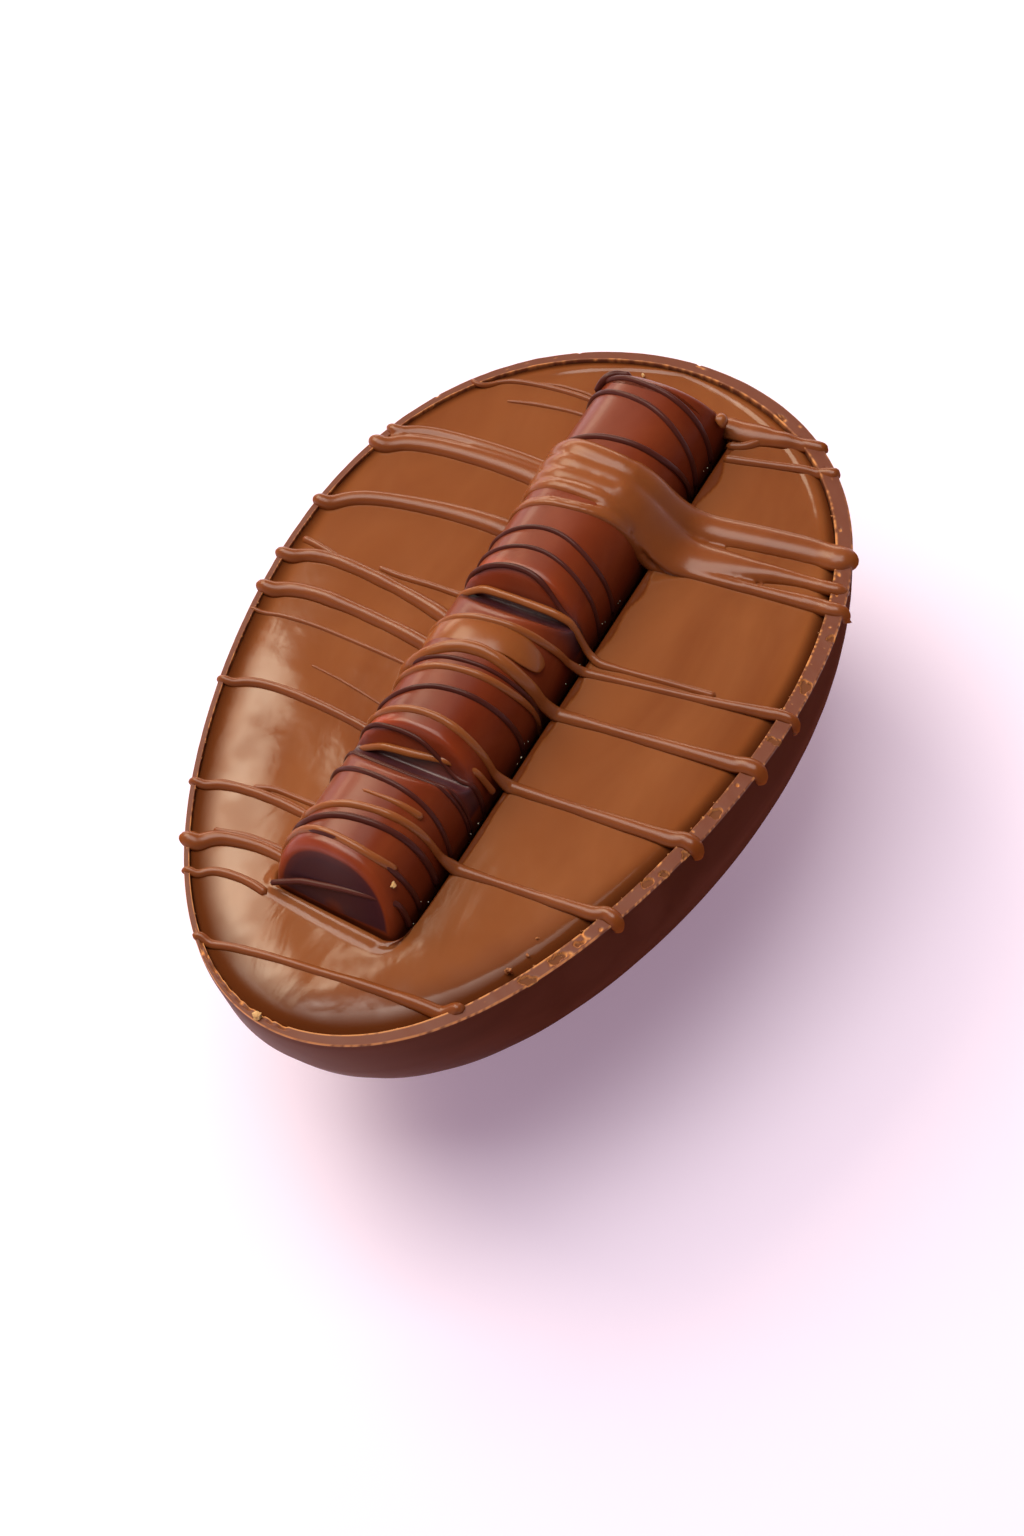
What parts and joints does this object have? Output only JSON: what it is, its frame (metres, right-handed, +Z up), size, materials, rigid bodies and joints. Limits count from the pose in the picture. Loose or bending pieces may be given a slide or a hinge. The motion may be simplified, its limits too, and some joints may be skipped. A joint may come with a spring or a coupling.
{
  "type": "chocolate egg half",
  "caption": "Half chocolate egg lying face up: thin shell, solid milk chocolate filling, humped wafer bar pressed in lengthways, chocolate drizzled across.",
  "frame": {"origin": "on the plane the egg rests on, under the middle of its length and width", "axes": "+X along the egg towards its blunt end, +Y across it, +Z up out of its flat face"},
  "size_m": [0.15, 0.0974, 0.0645],
  "materials": {
    "shell_chocolate": "milk chocolate shell, semi-matt outside with a paler chipped rim",
    "filling_chocolate": "smooth milk chocolate, satin gloss, with strands of the same chocolate lying on it",
    "bar_coating": "reddish dark brown chocolate coating, glossy, crossed by milk and dark chocolate strands"
  },
  "bodies": {
    "root": {"shell": "shell_chocolate", "filling": "filling_chocolate", "bar": "bar_coating"}
  },
  "joints": []
}
